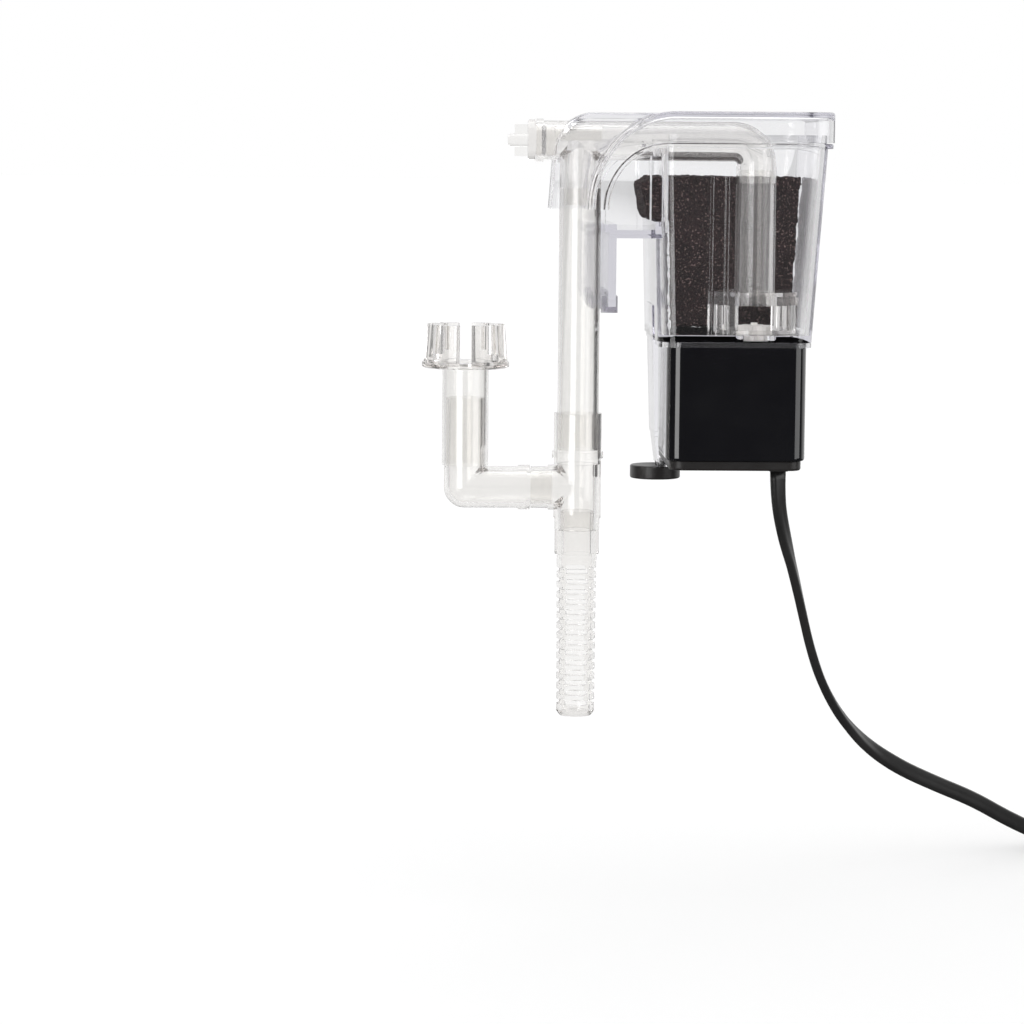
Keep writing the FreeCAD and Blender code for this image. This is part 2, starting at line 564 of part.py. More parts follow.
def strainer():
    """A slotted tube with a closed round end, pushed into the tee."""
    x, y = DROP_X, INTAKE_Y
    collar = upright(6.5, x, y, -92.6, STRAINER_TOP_Z)
    spigot = upright(DROP_R[1] - 0.04, x, y, STRAINER_TOP_Z - 0.5, -80.0)
    body = cone(5.55, 5.85, x, y, STRAINER_END_Z + 1.2, -92.0)
    end = cone(4.6, 5.55, x, y, STRAINER_END_Z, STRAINER_END_Z + 1.2)
    solid = fuse(collar, spigot, body, end)
    solid = solid.cut(upright(3.9, x, y, -93, -79)).cut(cone(4.1, 4.5, x, y, STRAINER_END_Z + 1.4, -92.5))
    slots = []
    for row in range(SLOT_ROWS):
        z = STRAINER_END_Z + 3.4 + row * SLOT_PITCH
        slots.append(box(x - 8, x + 8, y - 3.0, y + 3.0, z, z + 1.4))
        slots.append(box(x - 3.0, x + 3.0, y - 8, y + 8, z, z + 1.4))
    return solid.cut(Part.makeCompound(slots))


def skimmer_elbow():
    """An elbow that turns in the tee's branch and carries the skimmer's stem."""
    x, y = SKIMMER_X, INTAKE_Y
    corner = V(x, y, BRANCH_Z)
    outside = fuse(Part.makeSphere(6.1, corner), upright(6.1, x, y, BRANCH_Z, -67.2),
                   along_x(6.1, BRANCH_Z, x, -27.2), along_x(6.5, BRANCH_Z, -30.6, -27.2),
                   along_x(4.82, BRANCH_Z, -28.0, -20.6), upright(5.65, x, y, -67.4, -47.0))
    inside = fuse(Part.makeSphere(4.6, corner), upright(4.6, x, y, BRANCH_Z, -46),
                  along_x(4.6, BRANCH_Z, x, -28.0), along_x(3.9, BRANCH_Z, -29, -20))
    return outside.cut(inside)


def skimmer_stem():
    """The tube that slides on the elbow, to set the cup to the water's level."""
    return upright_tube((6.75, 5.73), SKIMMER_X, INTAKE_Y, -66.7, DISH_Z[0] - 0.4)


def skimmer_cup():
    """A dish with four tall merlons: surface water runs in between them."""
    x, y = SKIMMER_X, INTAKE_Y
    dish = fuse(upright(12.7, x, y, *DISH_Z), cone(11.9, 12.7, x, y, DISH_Z[0] - 0.4, DISH_Z[0]))
    blocks = Part.makeCone(12.5, 11.6, 11.1, V(x, y, DISH_Z[1] - 0.2), Z_AXIS)
    blocks = blocks.cut(upright(7.6, x, y, DISH_Z[1] - 1, -24))
    posts = [blocks.common(sector_ring(14, 7, x, y, DISH_Z[1] - 1, -24, 45 + 90 * i, 64)) for i in range(4)]
    slits = []
    for corner in range(4):
        slit = box(x + 9.0, x + 13.5, y - 1.1, y + 1.1, -34.0, -25)
        slit.rotate(V(x, y, 0), Z_AXIS, 45 + 90 * corner)
        slits.append(slit)
    return fuse(dish, *posts).cut(fuse(upright(5.75, x, y, -40, -35), *slits))


# ---------------------------------------------------------------- level wheel
def level_wheel():
    """An eccentric disc that bears on the tank's glass; turning it levels the filter."""
    x = WHEEL_PIVOT_X - WHEEL_ECCENTRICITY
    disc = upright(WHEEL_R, x, 0, *WHEEL_Z)
    disc = soften(disc, 0.5, lambda edge: abs(edge.CenterOfMass.x - x) < 0.01 and edge.Length > 40)
    dish = upright(WHEEL_R - 1.6, x, 0, WHEEL_Z[0] - 1, WHEEL_Z[0] + 1.1)
    hub = upright(3.0, WHEEL_PIVOT_X, 0, WHEEL_Z[0] + 0.6, WHEEL_Z[1])
    spokes = box(x - 6.2, x + 6.2, -0.6, 0.6, WHEEL_Z[0] + 0.3, WHEEL_Z[1] - 1)
    body = fuse(disc.cut(dish), hub, spokes)
    return body.cut(upright(1.56, WHEEL_PIVOT_X, 0, WHEEL_Z[0] - 1, WHEEL_Z[1] + 1))


def wheel_pin():
    """The rivet that the level wheel turns on."""
    x = WHEEL_PIVOT_X
    return fuse(upright(1.5, x, 0, WHEEL_Z[0] + 0.2, -66.95),
                upright(2.5, x, 0, WHEEL_Z[0] - 0.4, WHEEL_Z[0] + 0.25))


# ---------------------------------------------------------------- cord and plug
CORD_ROUTE = [CORD_EXIT, (47.4, 0.0, -77.6), (49.5, 3.0, -88.2), (53.3, 7.6, -101.0), (56.6, 12.0, -113.6),
              (60.0, 17.0, -126.1), (64.4, 23.0, -137.7), (71.0, 30.0, -149.0), (80.2, 38.0, -159.3),
              (92.0, 46.0, -167.8), (105.0, 54.0, -174.6), (118.4, 61.5, -181.0), (130.8, 69.0, -189.0),
              (143.6, 76.0, -196.0), (158.0, 83.0, -198.0), (172.6, 90.0, -198.0), (189.0, 93.6, -198.0)]
TAIL_ROUTE = [(196.0, 30.0, -198.0), (184.0, 26.4, -198.0), (173.4, 20.6, -197.4), (167.4, 13.6, -196.4),
              (166.0, 5.4, -195.8)]
PLUG_AT = (166.0, 6.0)


def cord_run(route, name):
    """A plain round tube along a route; its radii and its volume are printed."""
    points = [V(*p) for p in route]
    radii = []
    for a, b, c in zip(points, points[1:], points[2:]):
        turn = (b - a).getAngle(c - b)
        radii.append(0.45 * min((b - a).Length, (c - b).Length) / math.tan(turn / 2))
    wire = rounded_path(route, radii)
    ring = Part.Wire([Part.Circle(points[0], points[1] - points[0], CORD_TUBE_R).toShape()])
    tube = wire.makePipeShell([ring], True, False)
    expected = math.pi * CORD_TUBE_R ** 2 * wire.Length
    print(f"{name}: length {wire.Length:.1f}, radii {[round(r) for r in radii]}, "
          f"volume {tube.Volume:.0f} of {expected:.0f}")
    return tube


def cord_grommet():
    """A short oval collar in the base plate that the cord leaves through."""
    x, y, z = CORD_EXIT
    block = box(x - 3.1, x + 1.5, y - 3.3, y + 3.3, z + 2.0, HOUSING_Z[0] + 1.6)
    collar = soften(box(x - 2.9, x + 2.7, y - 3.7, y + 3.7, z, PLATE_Z[0] - 0.1), 1.0, upright_line)
    return fuse(block, collar)


def cord_coil():
    x, y = COIL_CENTRE
    return upright_tube((COIL_R[1], COIL_R[0]), x, y, TABLE_Z + 0.4, TABLE_Z + COIL_HEIGHT)


def cord_tie():
    """A strap round the coil."""
    x, y = COIL_CENTRE
    low, high = TABLE_Z, TABLE_Z + COIL_HEIGHT + 0.5
    outer = box(x + COIL_R[0] - 0.9, x + COIL_R[1] + 0.9, y - 2, y + 2, low, high)
    return outer.cut(box(x + COIL_R[0] - 0.5, x + COIL_R[1] + 0.5, y - 3, y + 3, low + 0.35, high - 0.4))


def plug_body():
    """A flat two-pin plug, lying on the table with its pins towards -Y."""
    x, y = PLUG_AT
    grip = box(x - 6, x + 6, y - 20, y - 3, TABLE_Z, TABLE_Z + 9)
    grip = soften(grip, 2.0, lambda edge: abs(edge.CenterOfMass.y - (y - 11.5)) < 0.1)
    face = box(x - 16.5, x + 16.5, y - 31, y - 19, TABLE_Z, TABLE_Z + 13)
    face = soften(face, 3.0, lambda edge: abs(edge.CenterOfMass.y - (y - 25)) < 0.1)
    relief = Part.makeCone(4.2, 2.6, 8, V(x, y - 8, TABLE_Z + 4.4), Y_AXIS)
    return fuse(grip, face, relief)


def plug_pins():
    x, y = PLUG_AT
    pins = [fuse(cylinder(2.0, (x + dx, y - 48.5, TABLE_Z + 6.5), (x + dx, y - 31, TABLE_Z + 6.5)),
                 Part.makeSphere(2.0, V(x + dx, y - 48.5, TABLE_Z + 6.5))) for dx in (-9.3, 9.3)]
    return Part.makeCompound(pins)


# ---------------------------------------------------------------- export
NODES = {
    "filter_box": filter_box,
    "hook_bumper": hook_bumper,
    "lid": lid,
    "impeller_cover": impeller_cover,
    "impeller": impeller,
    "rotor_magnet": rotor_magnet,
    "impeller_shaft": impeller_shaft,
    "shaft_bush": shaft_bush,
    "sponge": sponge,
    "motor_housing": motor_housing,
    "motor_base_plate": motor_base_plate,
    "base_screws": base_screws,
    "stator_core": stator_core,
    "coil_bobbin": coil_bobbin,
    "stator_coil": stator_coil,
    "riser_tube": riser_tube,
    "cross_tube": cross_tube,
    "flow_knob": flow_knob,
    "knob_o_ring": knob_o_ring,
    "drop_tube": drop_tube,
    "skimmer_tee": skimmer_tee,
    "strainer": strainer,
    "skimmer_elbow": skimmer_elbow,
    "skimmer_stem": skimmer_stem,
    "skimmer_cup": skimmer_cup,
    "level_wheel": level_wheel,
    "wheel_pin": wheel_pin,
    "cord_grommet": cord_grommet,
    "cord_coil": cord_coil,
    "cord_tie": cord_tie,
    "plug_body": plug_body,
    "plug_pins": plug_pins,
}

os.makedirs("parts", exist_ok=True)
for node, make in NODES.items():
    save(node, make())
save("cord_tube", cord_run(CORD_ROUTE, "cord_tube").cut(cord_coil()))
save("cord_tail", cord_run(TAIL_ROUTE, "cord_tail").cut(cord_coil()).cut(plug_body()))
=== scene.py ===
"""Looks of the hang-on-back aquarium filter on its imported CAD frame. Metres, +Z up."""

import math

import bpy
import numpy as np
from mathutils import Matrix, Vector, noise


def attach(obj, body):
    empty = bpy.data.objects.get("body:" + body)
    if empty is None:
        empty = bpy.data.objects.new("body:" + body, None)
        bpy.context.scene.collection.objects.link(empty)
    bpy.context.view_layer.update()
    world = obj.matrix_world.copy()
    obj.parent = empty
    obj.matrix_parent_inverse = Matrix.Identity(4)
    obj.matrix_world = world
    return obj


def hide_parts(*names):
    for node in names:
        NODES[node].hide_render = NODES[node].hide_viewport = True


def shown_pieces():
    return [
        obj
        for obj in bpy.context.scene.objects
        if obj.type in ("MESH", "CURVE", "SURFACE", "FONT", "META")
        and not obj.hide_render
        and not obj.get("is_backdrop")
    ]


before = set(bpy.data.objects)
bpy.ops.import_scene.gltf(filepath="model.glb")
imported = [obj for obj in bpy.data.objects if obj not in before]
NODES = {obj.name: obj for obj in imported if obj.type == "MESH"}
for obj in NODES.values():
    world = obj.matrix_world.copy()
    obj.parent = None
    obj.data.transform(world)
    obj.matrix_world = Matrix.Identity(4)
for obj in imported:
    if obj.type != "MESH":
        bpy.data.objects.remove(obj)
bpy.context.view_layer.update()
MM = 0.001

# ---------------------------------------------------------------- camera
CAMERA_AT = (-0.0526, -0.9749, 0.0229)
CAMERA_YAW, CAMERA_PITCH, CAMERA_ROLL = 1.22, 6.17, 0.46     # degrees: right, down, anticlockwise
LENS_MM = 115.66


def link(obj):
    bpy.context.scene.collection.objects.link(obj)
    return obj


def make_camera():
    data = bpy.data.cameras.new("camera")
    data.lens = LENS_MM
    data.sensor_width = 36.0
    camera = link(bpy.data.objects.new("camera", data))
    turn = (Matrix.Rotation(math.radians(-CAMERA_YAW), 4, "Z")
            @ Matrix.Rotation(math.radians(90 - CAMERA_PITCH), 4, "X")
            @ Matrix.Rotation(math.radians(CAMERA_ROLL), 4, "Z"))
    camera.matrix_world = Matrix.Translation(CAMERA_AT) @ turn
    bpy.context.scene.camera = camera


# ---------------------------------------------------------------- cord
CORD_WIDTH = 0.005
CORD_THICKNESS = 0.0029
CORD_ROUTE = [
    (0.0474, 0.0, -0.0696), (0.0474, 0.0, -0.0776), (0.0495, 0.003, -0.0882), (0.0533, 0.0076, -0.101),
    (0.0566, 0.012, -0.1136), (0.060, 0.017, -0.1261), (0.0644, 0.023, -0.1377), (0.071, 0.030, -0.149),
    (0.0802, 0.038, -0.1593), (0.092, 0.046, -0.1678), (0.105, 0.054, -0.1746), (0.1184, 0.0615, -0.181),
    (0.1308, 0.069, -0.1888), (0.1436, 0.076, -0.1955), (0.158, 0.083, -0.1974), (0.1726, 0.090, -0.1975)]
TAIL_ROUTE = [(0.184, 0.0264, -0.1975), (0.1734, 0.0206, -0.197), (0.1674, 0.0136, -0.1962),
              (0.166, 0.0054, -0.1957)]
COIL_CENTRE = (0.196, 0.062)
COIL_START_DEG = 102.5
COIL_TURNS = 5.535
COIL_POINTS_A_TURN = 16
# turns from the start, distance from the coil's middle and height above the table, in millimetres
COIL_WINDING = [(0.0, 32.6, 2.5), (1.4, 25.6, 2.5), (1.8, 25.0, 7.5), (2.3, 25.2, 7.6), (2.9, 29.4, 7.6),
                (3.3, 28.4, 12.6), (3.6, 28.2, 12.7), (4.1, 33.6, 12.7), (4.5, 33.8, 7.6), (5.1, 33.8, 7.6),
                (5.35, 33.6, 2.7), (5.535, 32.4, 2.5)]
TABLE_Z = -0.200


def coil_points():
    """Points of the coil, whose turns drift in and out and climb over one another."""
    turns, radii, heights = zip(*COIL_WINDING)
    points = []
    count = int(COIL_TURNS * COIL_POINTS_A_TURN)
    for i in range(count + 1):
        done = COIL_TURNS * i / count
        angle = math.radians(COIL_START_DEG - 360 * done)
        r = np.interp(done, turns, radii) * MM
        z = TABLE_Z + np.interp(done, turns, heights) * MM
        points.append((COIL_CENTRE[0] + r * math.cos(angle), COIL_CENTRE[1] + r * math.sin(angle), z))
    return points


def centreline(points):
    """The smooth line of a NURBS spline whose control points are given."""
    curve = bpy.data.curves.new("line", "CURVE")
    curve.dimensions = "3D"
    spline = curve.splines.new("NURBS")
    spline.points.add(len(points) - 1)
    for knot, point in zip(spline.points, points):
        knot.co = (*point, 1)
    spline.order_u = 3
    spline.use_endpoint_u = True
    spline.resolution_u = 6
    obj = link(bpy.data.objects.new("line", curve))
    mesh = bpy.data.meshes.new_from_object(obj)
    line = [v.co.copy() for v in mesh.vertices]
    bpy.data.objects.remove(obj)
    bpy.data.curves.remove(curve)
    bpy.data.meshes.remove(mesh)
    return line


def cord_section(count=28):
    """Outline of the flat twin cord: two round cores side by side under one skin."""
    lobe = CORD_THICKNESS / 2
    centre = CORD_WIDTH / 2 - lobe
    outline = []
    for i in range(count):
        a = 2 * math.pi * (i + 0.5) / count
        across = centre * max(-1.0, min(1.0, 2.2 * math.cos(a))) + lobe * math.cos(a)
        waist = 1 - 0.17 * math.exp(-(across / (0.45 * lobe)) ** 2)
        outline.append((across, lobe * math.sin(a) * waist))
    return outline


# distance along the cord in metres, and the way that its broad side then spans
BROAD_WAYS = [(0.0, (1, 0.4, 0)), (0.012, (1, 1, 0)), (0.022, (0.6, 0.85, 0)), (0.030, (0.3, 1, 0)),
              (0.042, (0.12, 1, 0)), (0.065, (0, 1, 0.1)), (0.095, (-0.3, 0.6, 0.7)), (0.12, (-0.1, 0, 1)),
              (1.19, (0, 0, 1)), (1.235, (1, 0, 0.3))]


def broad_way(at):
    """The way that the cord's broad side spans, at a distance along it."""
    stations = [s for s, _ in BROAD_WAYS]
    return Vector([np.interp(at, stations, [w[k] for _, w in BROAD_WAYS]) for k in range(3)])


def make_cord():
    """The flat cord swept along its route, and the line that it follows."""
    line = centreline(CORD_ROUTE + coil_points() + TAIL_ROUTE)
    section = cord_section()
    vertices = []
    travelled = 0.0
    for i, point in enumerate(line):
        if i:
            travelled += (point - line[i - 1]).length
        along = (line[min(i + 1, len(line) - 1)] - line[max(i - 1, 0)]).normalized()
        broad = broad_way(travelled)
        broad = (broad - along * broad.dot(along)).normalized()
        thin = along.cross(broad)
        vertices += [point + broad * u + thin * v for u, v in section]
    n = len(section)
    faces = [[row * n + k, row * n + (k + 1) % n, (row + 1) * n + (k + 1) % n, (row + 1) * n + k]
             for row in range(len(line) - 1) for k in range(n)]
    faces += [list(range(n))[::-1], [len(vertices) - n + k for k in range(n)]]
    cord = mesh_object("cord", vertices, faces)
    return cord, line


def mesh_object(name, vertices, faces):
    mesh = bpy.data.meshes.new(name)
    mesh.from_pydata(vertices, [], faces)
    mesh.validate()
    mesh.shade_smooth()
    return link(bpy.data.objects.new(name, mesh))


# ---------------------------------------------------------------- materials
class Tree:
    """The nodes of a material, or of the world, with short calls for adding and joining them."""

    def __init__(self, name, world=False):
        self.owner = (bpy.data.worlds if world else bpy.data.materials).new(name)
        self.owner.use_nodes = True
        self.nodes = self.owner.node_tree.nodes
        self.links = self.owner.node_tree.links
        self.nodes.clear()
        self.out = self.nodes.new("ShaderNodeOutputWorld" if world else "ShaderNodeOutputMaterial")
        self.place = self.nodes.new("ShaderNodeTexCoord").outputs["Generated" if world else "Object"]

    def add(self, kind, values=None, **settings):
        node = self.nodes.new("ShaderNode" + kind)
        for key, value in settings.items():
            setattr(node, key, value)
        for key, value in (values or {}).items():
            if isinstance(value, bpy.types.NodeSocket):
                self.links.new(value, node.inputs[key])
            else:
                node.inputs[key].default_value = value
        return node

    def noise(self, scale, detail=2.0, roughness=0.5, stretch=None):
        place = self.place
        if stretch:
            place = self.add("Mapping", {"Vector": place, "Scale": stretch}).outputs[0]
        return self.add("TexNoise", {"Vector": place, "Scale": scale, "Detail": detail,
                                     "Roughness": roughness}).outputs["Fac"]

    def ramp(self, factor, *stops):
        """Colours or numbers at positions from 0 to 1."""
        node = self.add("ValToRGB", {"Fac": factor})
        while len(node.color_ramp.elements) < len(stops):
            node.color_ramp.elements.new(0.5)
        for element, (position, colour) in zip(node.color_ramp.elements, stops):
            element.position = position
            element.color = (*colour, 1) if isinstance(colour, tuple) else (colour, colour, colour, 1)
        return node.outputs["Color"]

    def bump(self, height, distance, strength=1.0):
        return self.add("Bump", {"Height": height, "Distance": distance, "Strength": strength}).outputs[0]

    def calc(self, kind, a, b):
        return self.add("Math", {0: a, 1: b}, operation=kind).outputs[0]

    def mix_colours(self, factor, a, b):
        return self.add("Mix", {0: factor, 6: a, 7: b}, data_type="RGBA").outputs[2]

    def between(self, value, low, high):
        """0 at low and below, 1 at high and above. Low may be the larger."""
        return self.add("MapRange", {"Value": value, "From Min": low, "From Max": high}).outputs[0]

    def within(self, low, high):
        """1 inside a box, 0 outside it."""
        middle = [(a + b) / 2 for a, b in zip(low, high)]
        half = [(b - a) / 2 for a, b in zip(low, high)]
        away = self.add("VectorMath", {0: self.place, 1: middle}, operation="SUBTRACT").outputs[0]
        away = self.add("VectorMath", {0: away}, operation="ABSOLUTE").outputs[0]
        room = self.add("VectorMath", {0: half, 1: away}, operation="SUBTRACT").outputs[0]
        x, y, z = self.add("SeparateXYZ", {0: room}).outputs
        return self.calc("GREATER_THAN", self.calc("MINIMUM", self.calc("MINIMUM", x, y), z), 0.0)

    def by_ray(self, through, mirrored, scattered):
        """One number for rays that have been in clear plastic, one for mirrored ones, one for the rest."""
        path = self.add("LightPath").outputs
        depth = self.calc("MINIMUM", path["Transmission Depth"], 1.0)
        sharp = self.add("Mix", {"Factor": depth, "A": mirrored, "B": through}).outputs[0]
        return self.add("Mix", {"Factor": path["Is Glossy Ray"], "A": scattered, "B": sharp}).outputs[0], path

    def surface(self, shader):
        self.links.new(shader, self.out.inputs["Surface"])
        return self.owner


def clear_plastic(name, tint, painted_edge_shade, absorb, density, wave, roughness=(0.0, 0.03), shade=0.94, clarity=1.0,
                  painted_shade_box=None):
    """Moulded clear plastic: faint waves, a tint that deepens in its thickness, and painted shade that
    darkens its colour where its skin turns edge-on to the view.

    Its skin inside the box given last is painted black, lets no light through and mirrors less: painted shade
    where it meets something black.
    """
    t = Tree(name)
    facing = t.add("LayerWeight", {"Blend": 0.35}).outputs["Facing"]
    # painted shade: the colour darkens to the edge colour where the skin turns edge-on to the view, for the
    # dark outlines of clear plastic
    colour = t.ramp(facing, (0.0, tint), (0.55, tint), (0.93, painted_edge_shade))
    mirror = 0.5
    if painted_shade_box:
        shaded_skin = t.within(*painted_shade_box)
        # painted shade: black colour, no light through and less mirroring inside the box
        colour = t.mix_colours(shaded_skin, colour, (0.004, 0.004, 0.005, 1))
        clarity = t.calc("SUBTRACT", clarity, shaded_skin)
        mirror = t.calc("MULTIPLY", clarity, mirror)
    rough = t.ramp(t.noise(140, 3), (0.35, roughness[0]), (0.75, roughness[1]))
    skin = t.bump(t.noise(55, 1.0), wave)
    glass = t.add("BsdfPrincipled", {"Base Color": colour, "Roughness": rough, "Normal": skin,
                                     "IOR": 1.47, "Transmission Weight": clarity,
                                     "Specular IOR Level": mirror})
    open_way = t.add("BsdfTransparent", {"Color": (shade, shade, shade, 1)})
    shadow = t.add("LightPath").outputs["Is Shadow Ray"]
    mix = t.add("MixShader", {0: shadow, 1: glass.outputs[0], 2: open_way.outputs[0]})
    volume = t.add("VolumeAbsorption", {"Color": (*absorb, 1), "Density": density})
    t.links.new(volume.outputs[0], t.out.inputs["Volume"])
    return t.surface(mix.outputs[0])


def solid_plastic(name, low, high, roughness, grain, depth, coat=0.0):
    """Opaque stuff: a colour that drifts between two shades, uneven gloss and a fine moulded grain."""
    t = Tree(name)
    colour = t.ramp(t.noise(30, 5, 0.65), (0.3, low), (0.72, high))
    rough = t.ramp(t.noise(150, 4), (0.3, roughness[0]), (0.75, roughness[1]))
    skin = t.bump(t.noise(grain, 3), depth)
    shader = t.add("BsdfPrincipled", {"Base Color": colour, "Roughness": rough, "Normal": skin,
                                      "Coat Weight": coat, "Coat Roughness": 0.05})
    return t.surface(shader.outputs[0])


def foam(name):
    """Open-cell filter foam, brown-black: painted shade darkens the middle of each pore, and a few light
    flecks are painted glints standing in for struts that catch the light.
    """
    t = Tree(name)
    pores = t.add("TexVoronoi", {"Vector": t.place, "Scale": 1700}, feature="F1").outputs["Distance"]
    drift = t.noise(150, 3, 0.6)
    # painted shade: darker at the middle of each pore, where the cells are hollow; the drift is the foam's
    # own uneven tone
    colour = t.ramp(t.calc("MULTIPLY", pores, drift),
                    (0.06, (0.005, 0.0025, 0.0028)), (0.45, (0.024, 0.0125, 0.013)))
    # painted glints: light flecks standing in for struts that catch the light
    glints = t.between(t.noise(1700, 1.0), 0.60, 0.76)
    painted_glint_colour = t.mix_colours(glints, colour, (0.22, 0.15, 0.145, 1))
    skin = t.bump(pores, 0.0003, 0.8)
    shader = t.add("BsdfPrincipled", {"Base Color": painted_glint_colour, "Roughness": 0.8, "Normal": skin,
                                      "Specular IOR Level": 0.25})
    return t.surface(shader.outputs[0])


def brushed(name, low, high, roughness, stretch):
    """Metal with a drawn or stacked grain along one way."""
    t = Tree(name)
    lines = t.noise(1.0, 3, stretch=stretch)
    colour = t.ramp(lines, (0.3, low), (0.7, high))
    rough = t.ramp(lines, (0.3, roughness[0]), (0.7, roughness[1]))
    skin = t.bump(lines, 0.00004)
    shader = t.add("BsdfPrincipled", {"Base Color": colour, "Roughness": rough, "Normal": skin,
                                      "Metallic": 1.0})
    return t.surface(shader.outputs[0])


# painted shade: the underside of the box's floor over the black motor pod, painted black so that the joint
# reads dark
BOX_FLOOR_PAINTED_SHADE = ((0.0112, -0.0345, -0.0297), (0.0520, 0.0345, -0.0295))

# the second colour of each clear plastic is its painted edge shade
MATERIALS = {
    "clear_box": clear_plastic("clear_box", (0.975, 0.975, 0.98), (0.42, 0.41, 0.47), (0.62, 0.61, 0.68),
                               14.0, 0.00003, painted_shade_box=BOX_FLOOR_PAINTED_SHADE),
    "clear_tube": clear_plastic("clear_tube", (0.93, 0.925, 0.915), (0.42, 0.40, 0.42), (0.66, 0.62, 0.60),
                                30.0, 0.000012, shade=0.9, clarity=0.982),
    "gloss_black": solid_plastic("gloss_black", (0.002, 0.002, 0.003), (0.005, 0.005, 0.006), (0.05, 0.14),
                                 1600, 0.000004, coat=0.6),
    "satin_black": solid_plastic("satin_black", (0.009, 0.008, 0.008), (0.016, 0.0145, 0.014), (0.3, 0.44),
                                 2600, 0.00002),
    "white_plastic": solid_plastic("white_plastic", (0.72, 0.70, 0.68), (0.82, 0.80, 0.78), (0.3, 0.45),
                                   2200, 0.00001),
    "bobbin": solid_plastic("bobbin", (0.60, 0.58, 0.52), (0.70, 0.68, 0.62), (0.4, 0.5), 2200, 0.00001),
    "magnet": solid_plastic("magnet", (0.03, 0.03, 0.032), (0.06, 0.058, 0.056), (0.45, 0.65), 3000, 0.00003),
    "shaft_ceramic": solid_plastic("shaft_ceramic", (0.75, 0.74, 0.70), (0.84, 0.83, 0.80), (0.12, 0.2),
                                   2500, 0.000006),
    "rubber_black": solid_plastic("rubber_black", (0.012, 0.012, 0.012), (0.03, 0.029, 0.028), (0.55, 0.75),
                                  1800, 0.00003),
    "silicone": clear_plastic("silicone", (0.80, 0.80, 0.82), (0.50, 0.49, 0.54), (0.70, 0.68, 0.74),
                              40.0, 0.00005, roughness=(0.2, 0.34), shade=0.85),
    "steel": brushed("steel", (0.46, 0.46, 0.47), (0.62, 0.62, 0.62), (0.22, 0.36), (900, 900, 2600)),
    "laminations": brushed("laminations", (0.20, 0.20, 0.21), (0.42, 0.42, 0.43), (0.35, 0.5),
                           (150, 150, 4200)),
    "copper": brushed("copper", (0.55, 0.22, 0.09), (0.86, 0.42, 0.22), (0.2, 0.34), (3600, 150, 150)),
    "pin_metal": brushed("pin_metal", (0.62, 0.60, 0.55), (0.78, 0.76, 0.70), (0.16, 0.28),
                         (1400, 260, 1400)),
    "cord_black": solid_plastic("cord_black", (0.008, 0.008, 0.008), (0.018, 0.017, 0.017), (0.3, 0.44),
                                2400, 0.000016),
    "foam": foam("foam"),
}


def paint_cad_nodes():
    """Every CAD node keeps its shape and takes the material of its slot in the record."""
    for obj in NODES.values():
        slot = obj.data.materials[0].name.split(".")[0]
        obj.data.materials[0] = MATERIALS[slot]


# ---------------------------------------------------------------- sponge
SPONGE_OUTLINE = [(12.0, -27.3), (50.2, -27.3), (52.8, 17.8), (7.5, 17.8), (4.4, 15.8), (6.4, 5.4),
                  (10.9, 5.0)]
SPONGE_Y = (-4.0, 32.4)
SPONGE_INSET = 0.4           # millimetres, so that its rough skin passes the CAD solid by only about 0.1
SPONGE_VOXEL = 0.0006
PORE_RATE, GRAIN_RATE, LUMP_RATE = 1300, 620, 260              # to a metre
PORE_DEPTH, ROUGH_DEPTH, SKIN_SINK = 0.00022, 0.0005, 0.00012  # in metres


def make_sponge():
    """A cut foam block: a fine even mesh whose skin is pitted by open cells."""
    cx = sum(x for x, _ in SPONGE_OUTLINE) / len(SPONGE_OUTLINE)
    cz = sum(z for _, z in SPONGE_OUTLINE) / len(SPONGE_OUTLINE)
    rows = []
    for y in (SPONGE_Y[0] + SPONGE_INSET, SPONGE_Y[1] - SPONGE_INSET):
        for x, z in SPONGE_OUTLINE:
            rows.append(Vector((x - math.copysign(SPONGE_INSET, x - cx), y,
                                z - math.copysign(SPONGE_INSET, z - cz))) * MM)
    n = len(SPONGE_OUTLINE)
    faces = [[k, (k + 1) % n, n + (k + 1) % n, n + k] for k in range(n)]
    faces += [list(range(n))[::-1], list(range(n, 2 * n))]
    block = mesh_object("block", rows, faces)
    remesh = block.modifiers.new("cells", "REMESH")
    remesh.mode = "VOXEL"
    remesh.voxel_size = SPONGE_VOXEL
    graph = bpy.context.evaluated_depsgraph_get()
    mesh = bpy.data.meshes.new_from_object(block.evaluated_get(graph))
    bpy.data.objects.remove(block)
    for vertex in mesh.vertices:
        at = vertex.co
        pores = noise.cell(at * PORE_RATE) - 0.5
        soft = noise.noise(at * GRAIN_RATE) * 0.8 + noise.noise(at * LUMP_RATE) * 0.9
        vertex.co = at + vertex.normal * (PORE_DEPTH * pores + ROUGH_DEPTH * soft - SKIN_SINK)
    mesh.shade_smooth()
    mesh.materials.clear()
    return link(bpy.data.objects.new("foam_sponge", mesh))


# ---------------------------------------------------------------- stage and light
WHITE = 1.0                  # brightness of the floor and of the world behind it
SKY = 1.14                   # brightness of the world for the matt surfaces that it lights
SURROUND = 0.75              # brightness of the studio beside and above the white sweep
FRONT = 0.4                  # brightness of the studio behind the camera
FLOOR_HALF = 30.0            # half width of the table, in metres
SWEEP_HALF = 0.55            # half width of the white sweep, in metres
CLEAR_BOUNCES = 40           # light crosses many walls of clear plastic, and is mirrored inside them


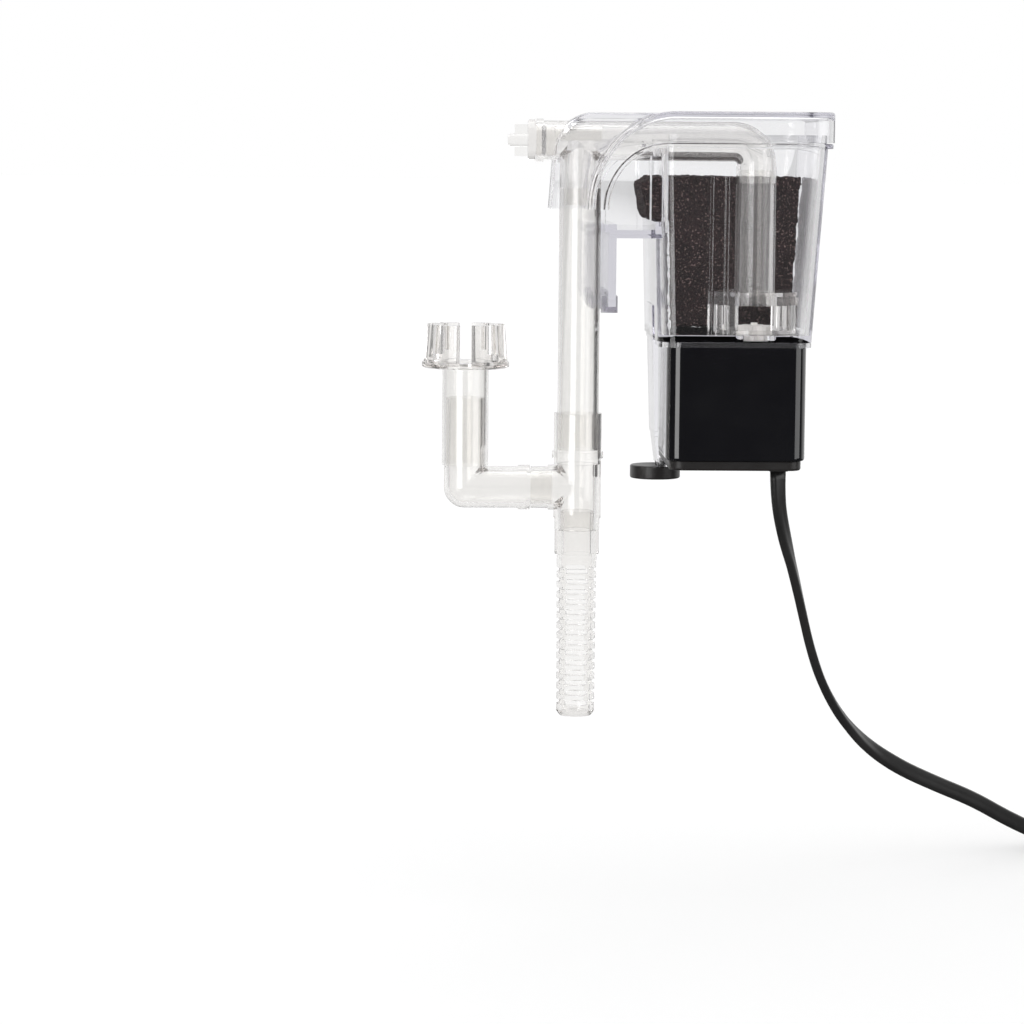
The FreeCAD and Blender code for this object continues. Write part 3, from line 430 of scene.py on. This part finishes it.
def make_floor():
    """A white table. Clear plastic and mirrors also find the darker studio past its sides."""
    corners = [(-FLOOR_HALF, -FLOOR_HALF), (FLOOR_HALF, -FLOOR_HALF), (FLOOR_HALF, FLOOR_HALF),
               (-FLOOR_HALF, FLOOR_HALF)]
    floor = mesh_object("floor", [(x, y, TABLE_Z) for x, y in corners], [[0, 1, 2, 3]])
    t = Tree("floor")
    split = t.add("SeparateXYZ", {0: t.place})
    side = t.between(t.calc("ABSOLUTE", split.outputs["X"], 0.0), SWEEP_HALF + 0.5, SWEEP_HALF)
    near = t.between(t.add("VectorMath", {0: t.place}, operation="LENGTH").outputs["Value"], 1.3, 0.8)
    lit = t.calc("MAXIMUM", side, near)
    wide = t.add("Mix", {"Factor": lit, "A": SURROUND, "B": WHITE}).outputs[0]
    front = t.calc("SUBTRACT", t.between(split.outputs["Y"], -0.7, -1.2), near)
    through = t.add("Mix", {"Factor": t.calc("MAXIMUM", front, 0.0), "A": wide, "B": FRONT}).outputs[0]
    mirrored = t.add("Mix", {"Factor": t.between(split.outputs["Y"], 0.1, 0.5), "A": 0.05, "B": 0.9})
    strength, path = t.by_ray(through, mirrored.outputs[0], 0.9)
    glow = t.add("Emission", {"Color": (1, 1, 1, 1), "Strength": strength})
    colour = t.ramp(t.noise(3, 2), (0.3, (0.90, 0.90, 0.90)), (0.7, (0.92, 0.92, 0.92)))
    plain = t.add("BsdfDiffuse", {"Color": colour})
    mix = t.add("MixShader", {0: path["Is Camera Ray"], 1: glow.outputs[0], 2: plain.outputs[0]})
    floor.data.materials.append(t.surface(mix.outputs[0]))
    floor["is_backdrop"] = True


def make_world():
    """White to look at; through clear plastic and in mirrors, a studio that is bright behind."""
    t = Tree("studio", world=True)
    split = t.add("SeparateXYZ", {0: t.place})
    side = t.between(t.calc("ABSOLUTE", split.outputs["X"], 0.0), 0.75, 0.4)
    low = t.between(split.outputs["Z"], 0.75, 0.35)
    wide = t.add("Mix", {"Factor": t.calc("MULTIPLY", side, low), "A": SURROUND, "B": WHITE}).outputs[0]
    front = t.between(split.outputs["Y"], -0.3, -0.7)
    through = t.add("Mix", {"Factor": front, "A": wide, "B": FRONT}).outputs[0]
    behind = t.between(split.outputs["Y"], 0.0, 0.5)
    mirrored = t.add("Mix", {"Factor": behind, "A": 0.04, "B": 0.9}).outputs[0]
    strength, path = t.by_ray(through, mirrored, SKY)
    seen = t.add("Mix", {"Factor": path["Is Camera Ray"], "A": strength, "B": WHITE}).outputs[0]
    t.surface(t.add("Background", {"Color": (1, 1, 1, 1), "Strength": seen}).outputs[0])
    bpy.context.scene.world = t.owner


def area_light(name, at, aim, size, power, receivers):
    data = bpy.data.lights.new(name, "AREA")
    data.shape = "RECTANGLE"
    data.size, data.size_y = size
    data.energy = power
    lamp = link(bpy.data.objects.new(name, data))
    lamp.location = at
    lamp.rotation_euler = (Vector(aim) - Vector(at)).to_track_quat("-Z", "Y").to_euler()
    lamp.light_linking.receiver_collection = receivers


def make_lights():
    """Tall soft boxes at both sides and one above. They light the object, not the table."""
    receivers = bpy.data.collections.new("lit_by_boxes")
    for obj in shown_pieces():
        receivers.objects.link(obj)
    aim = (0.02, 0.0, -0.02)
    area_light("left", (-0.56, -0.9, 0.15), aim, (0.6, 1.1), 8, receivers)
    area_light("right", (0.95, -0.6, 0.15), aim, (0.8, 1.1), 5, receivers)
    area_light("top", (0.1, 0.1, 1.3), aim, (1.0, 1.0), 6, receivers)


# ---------------------------------------------------------------- the scene
make_camera()
cord, cord_line = make_cord()
cord.data.materials.append(MATERIALS["cord_black"])
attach(cord, "root")
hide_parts("cord_tube", "cord_coil", "cord_tail")

paint_cad_nodes()
sponge = make_sponge()
sponge.data.materials.append(MATERIALS["foam"])
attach(sponge, "root")
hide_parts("sponge")

make_floor()
make_world()
make_lights()
scene = bpy.context.scene
scene.view_settings.view_transform = "Standard"
scene.cycles.max_bounces = CLEAR_BOUNCES
scene.cycles.glossy_bounces = CLEAR_BOUNCES
scene.cycles.transmission_bounces = CLEAR_BOUNCES
scene.cycles.transparent_max_bounces = CLEAR_BOUNCES
